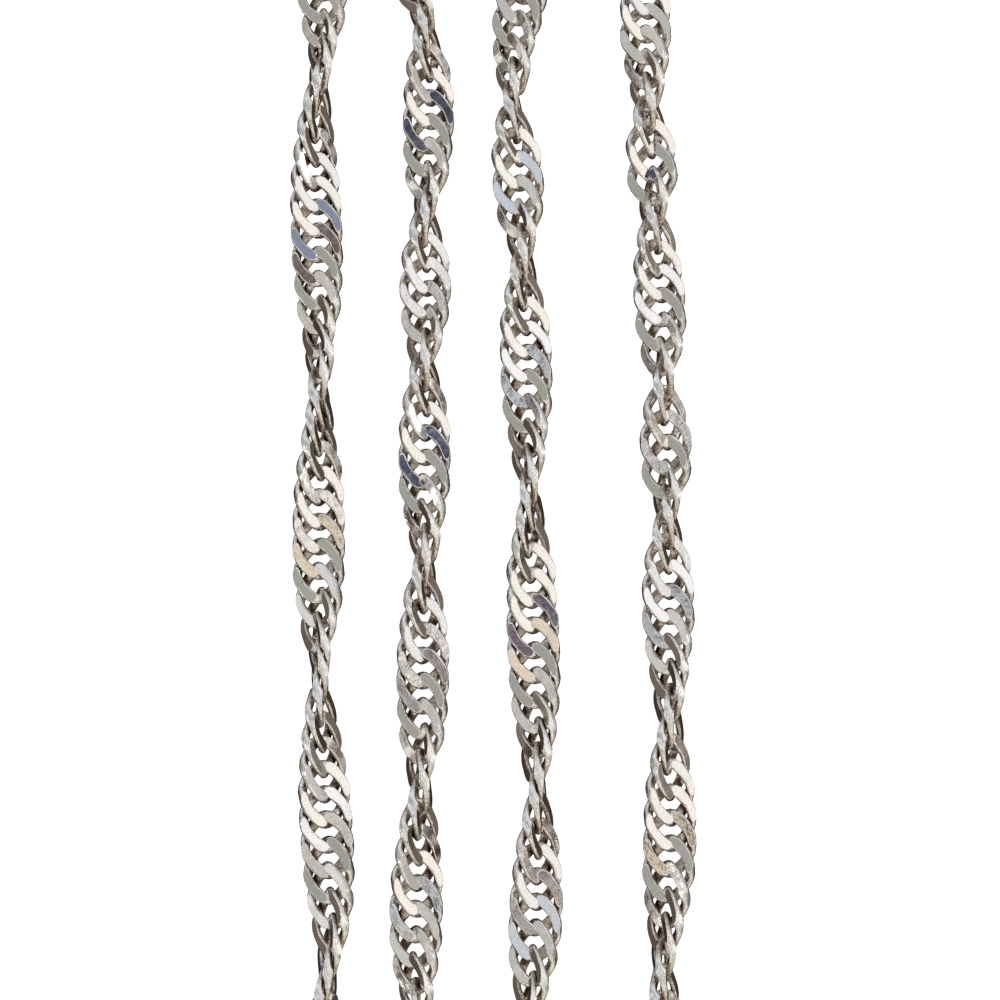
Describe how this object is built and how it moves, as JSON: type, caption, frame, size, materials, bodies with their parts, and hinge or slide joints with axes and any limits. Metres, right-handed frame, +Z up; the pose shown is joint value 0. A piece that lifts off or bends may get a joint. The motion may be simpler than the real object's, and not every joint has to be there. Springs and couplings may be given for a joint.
{
  "type": "twisted flat curb chain necklace",
  "caption": "Silver necklace chain of flat double curb links twisted on itself, a closed loop with a spring ring clasp, laid out in four long strands.",
  "frame": {"origin": "middle of the necklace as it lies, on the surface that it rests on", "axes": "+Z up from the surface, +Y along the strands towards the clasp, +X across the strands"},
  "size_m": [0.0338, 0.1106, 0.0032],
  "materials": {
    "chain_silver": "polished sterling silver, flat facets bright, recesses slightly toned",
    "clasp_silver": "polished sterling silver, smooth"
  },
  "bodies": {
    "root": {"chain_left": "chain_silver", "chain_right": "chain_silver", "jump_ring": "clasp_silver", "spring_ring_clasp": "clasp_silver", "end_ring": "clasp_silver"}
  },
  "joints": []
}
